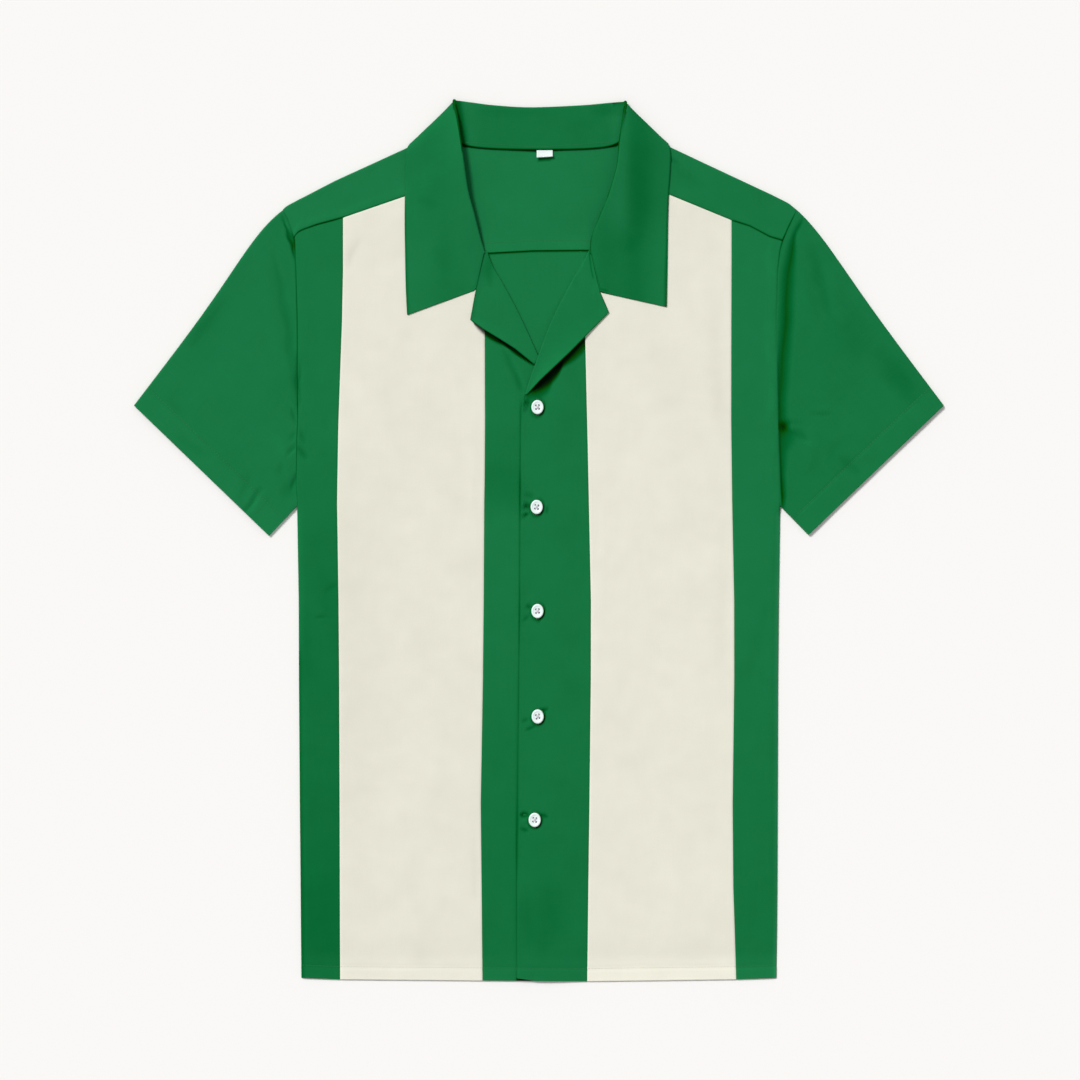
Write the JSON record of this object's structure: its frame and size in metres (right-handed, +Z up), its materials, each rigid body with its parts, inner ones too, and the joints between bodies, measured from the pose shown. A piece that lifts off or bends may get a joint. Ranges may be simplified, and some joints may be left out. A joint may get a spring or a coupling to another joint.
{
  "type": "short-sleeved camp-collar shirt laid flat",
  "caption": "Short-sleeved button-front shirt with an open camp collar and a contrast vertical panel on each front, buttoned and laid flat on its back.",
  "frame": {"origin": "middle of the shirt's outline, on the surface that its back rests on", "axes": "+Z up from that surface, +Y towards the collar, +X towards the wearer's left"},
  "size_m": [0.737, 0.802, 0.0142],
  "materials": {
    "green_cloth": "plain-woven cotton, bright green, matt with a faint sheen",
    "cream_cloth": "plain-woven cotton, cream, matt",
    "button": "white four-hole shirt button, polished rim, sewn with pale violet thread",
    "label_tape": "white woven tape, bare",
    "thread": "sewing thread matched to the cloth it holds"
  },
  "bodies": {
    "root": {"back": "green_cloth", "yoke": "green_cloth", "side_front_right": "green_cloth", "side_front_left": "green_cloth", "panel_right": "cream_cloth", "panel_left": "cream_cloth", "centre_front_right": "green_cloth", "centre_front_left": "green_cloth", "lapel_right": "green_cloth", "lapel_left": "green_cloth", "sleeve_right": "green_cloth", "sleeve_left": "green_cloth", "collar": "green_cloth", "label": "label_tape", "button_1": "button", "button_2": "button", "button_3": "button", "button_4": "button", "button_5": "button"}
  },
  "joints": []
}
